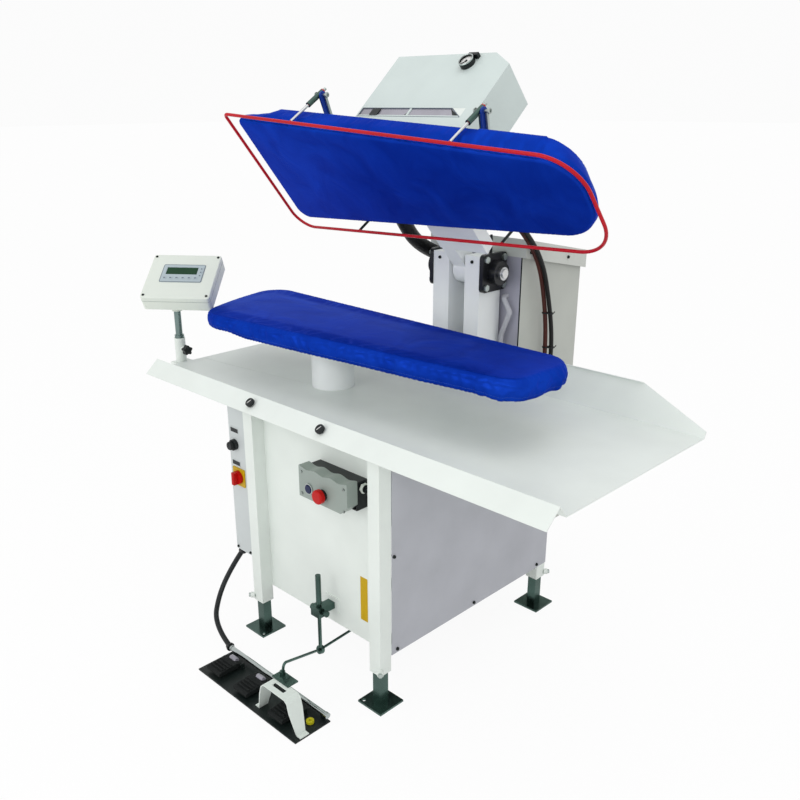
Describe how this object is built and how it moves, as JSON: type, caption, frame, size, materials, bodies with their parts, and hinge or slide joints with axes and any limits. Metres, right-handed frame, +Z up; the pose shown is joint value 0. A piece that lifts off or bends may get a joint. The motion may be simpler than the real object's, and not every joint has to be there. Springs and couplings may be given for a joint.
{
  "type": "steam press",
  "caption": "Industrial steam press: blue padded buck and tilting head, red safety bar, catch table, white sheet base on telescopic legs, foot pedals, control box and display.",
  "frame": {"origin": "on the floor at the middle of the four anchor holes in the foot plates", "axes": "+X to the operator's right, -Y towards the operator, +Z up"},
  "size_m": [1.6602, 1.366, 1.7039],
  "materials": {
    "white_paint": "satin powder coat",
    "grey_paint": "satin powder coat",
    "zinc": "bright zinc plate",
    "steel": "machined",
    "chrome": "polished",
    "platen": "cast and machined",
    "felt": "dense felt",
    "blue_cloth": "satin-faced cloth",
    "red_paint": "gloss",
    "black_metal": "satin black",
    "cast_black": "black enamel",
    "black_plastic": "moulded",
    "light_plastic": "moulded",
    "display_face": "printed film, left bare",
    "red_plastic": "gloss",
    "blue_plastic": "gloss",
    "yellow_plastic": "gloss",
    "rubber": "matt"
  },
  "bodies": {
    "frame": {"air_cylinder": "platen", "base_frame": "white_paint", "base_panels": "grey_paint", "bearing_bolts": "zinc", "bearings": "cast_black", "buck_column": "white_paint", "buck_cover": "blue_cloth", "buck_pad": "felt", "buck_platen": "platen", "cabinet_lid": "white_paint", "control_box": "grey_paint", "control_box_cover": "grey_paint", "front_panel": "white_paint", "hanger_clamp": "zinc", "hanger_rod": "zinc", "head_hoses": "rubber", "leg_clamp_bolts": "zinc", "panel_screws": "black_metal", "pedal_bumper": "yellow_plastic", "pedal_cable": "rubber", "pedal_guard": "white_paint", "pedal_plate": "black_metal", "pedal_tie_rod": "zinc", "pedal_tube": "chrome", "post_socket": "white_paint", "rear_cabinet": "white_paint", "station_base": "black_plastic", "station_cover": "light_plastic", "steam_pipe": "white_paint", "switch_plate": "yellow_plastic", "table_top": "white_paint", "uprights": "white_paint"},
    "head": {"head_arm": "white_paint", "pivot_shaft": "steel", "head_platen": "platen", "head_pad": "felt", "head_cover": "blue_cloth", "head_casing": "white_paint", "gauge_body": "black_plastic", "bar_brackets": "zinc"},
    "bar": {"safety_bar": "red_paint"},
    "needle": {"gauge_needle": "black_plastic"},
    "piston": {"piston_rod": "steel"},
    "pedal_l": {"pedal_left": "black_plastic"},
    "pedal_m": {"pedal_middle": "black_plastic"},
    "pedal_r": {"pedal_right": "black_plastic"},
    "button_l": {"close_button_left": "black_plastic"},
    "button_r": {"close_button_right": "black_plastic"},
    "start": {"start_button": "blue_plastic"},
    "stop": {"stop_mushroom": "red_plastic"},
    "switch": {"main_switch_knob": "red_plastic"},
    "regulator": {"regulator_knob": "black_plastic"},
    "post": {"panel_post": "chrome"},
    "panel": {"panel_housing": "light_plastic", "panel_display": "display_face"},
    "clamp": {"clamp_knob": "black_plastic"},
    "leg_fl": {"leg_front_left": "zinc"},
    "leg_fr": {"leg_front_right": "zinc"},
    "leg_rl": {"leg_rear_left": "zinc"},
    "leg_rr": {"leg_rear_right": "zinc"}
  },
  "joints": [
    {"name": "head_hinge", "type": "hinge", "parent": "frame", "child": "head", "pos_m": [0, 0.325, 1.092], "axis": [1, 0, 0], "range_deg": [0, 48], "deforming": ["head_hoses"]},
    {"name": "piston_stroke", "type": "slide", "parent": "frame", "child": "piston", "axis": [0, 0, 1], "range_m": [0, 0.0978]},
    {"name": "safety_bar_lift", "type": "slide", "parent": "head", "child": "bar", "axis": [0, 0.8385, 0.545], "range_m": [0, 0.012]},
    {"name": "gauge_sweep", "type": "hinge", "parent": "head", "child": "needle", "pos_m": [0.035, 0.20929, 1.68081], "axis": [0, 0.6691, -0.7431], "range_deg": [0, 270]},
    {"name": "pedal_l_press", "type": "hinge", "parent": "frame", "child": "pedal_l", "pos_m": [-0.165, -0.548, 0.016], "axis": [1, 0, 0], "range_deg": [0, 6], "stiffness_Nm_per_rad": 2, "springref_deg": -11.46},
    {"name": "pedal_m_press", "type": "hinge", "parent": "frame", "child": "pedal_m", "pos_m": [-0.035, -0.548, 0.016], "axis": [1, 0, 0], "range_deg": [0, 6], "stiffness_Nm_per_rad": 2, "springref_deg": -11.46},
    {"name": "pedal_r_press", "type": "hinge", "parent": "frame", "child": "pedal_r", "pos_m": [0.124, -0.548, 0.016], "axis": [1, 0, 0], "range_deg": [0, 6], "stiffness_Nm_per_rad": 2, "springref_deg": -11.46},
    {"name": "lip_button_l_push", "type": "slide", "parent": "frame", "child": "button_l", "axis": [0, 0.6725, -0.7401], "range_m": [0, 0.004], "stiffness_N_per_m": 600, "springref_m": -0.002},
    {"name": "lip_button_r_push", "type": "slide", "parent": "frame", "child": "button_r", "axis": [0, 0.6725, -0.7401], "range_m": [0, 0.004], "stiffness_N_per_m": 600, "springref_m": -0.002},
    {"name": "start_push", "type": "slide", "parent": "frame", "child": "start", "axis": [0, 1, 0], "range_m": [0, 0.004], "stiffness_N_per_m": 600, "springref_m": -0.002},
    {"name": "stop_push", "type": "slide", "parent": "frame", "child": "stop", "axis": [0, 1, 0], "range_m": [0, 0.005], "stiffness_N_per_m": 600, "springref_m": -0.003},
    {"name": "main_switch_turn", "type": "hinge", "parent": "frame", "child": "switch", "pos_m": [-0.326, -0.375, 0.513], "axis": [0, 1, 0], "range_deg": [0, 90]},
    {"name": "regulator_turn", "type": "hinge", "parent": "frame", "child": "regulator", "pos_m": [-0.338, -0.375, 0.616], "axis": [0, 1, 0], "range_deg": [0, 270]},
    {"name": "display_height", "type": "slide", "parent": "frame", "child": "post", "axis": [0, 0, 1], "range_m": [0, 0.06]},
    {"name": "display_swivel", "type": "hinge", "parent": "post", "child": "panel", "pos_m": [-0.695, -0.318, 0.98], "axis": [0, 0, 1], "range_deg": [-60, 0]},
    {"name": "clamp_turn", "type": "hinge", "parent": "frame", "child": "clamp", "pos_m": [-0.665, -0.318, 0.835], "axis": [1, 0, 0], "range_deg": [0, 180]},
    {"name": "leg_fl_height", "type": "slide", "parent": "frame", "child": "leg_fl", "axis": [0, 0, -1], "range_m": [0, 0.05]},
    {"name": "leg_fr_height", "type": "slide", "parent": "frame", "child": "leg_fr", "axis": [0, 0, -1], "range_m": [0, 0.05]},
    {"name": "leg_rl_height", "type": "slide", "parent": "frame", "child": "leg_rl", "axis": [0, 0, -1], "range_m": [0, 0.05]},
    {"name": "leg_rr_height", "type": "slide", "parent": "frame", "child": "leg_rr", "axis": [0, 0, -1], "range_m": [0, 0.05]}
  ],
  "couplings": [
    {"joint": "piston_stroke", "follows": "head_hinge", "m_per_rad": 0.11652}
  ]
}
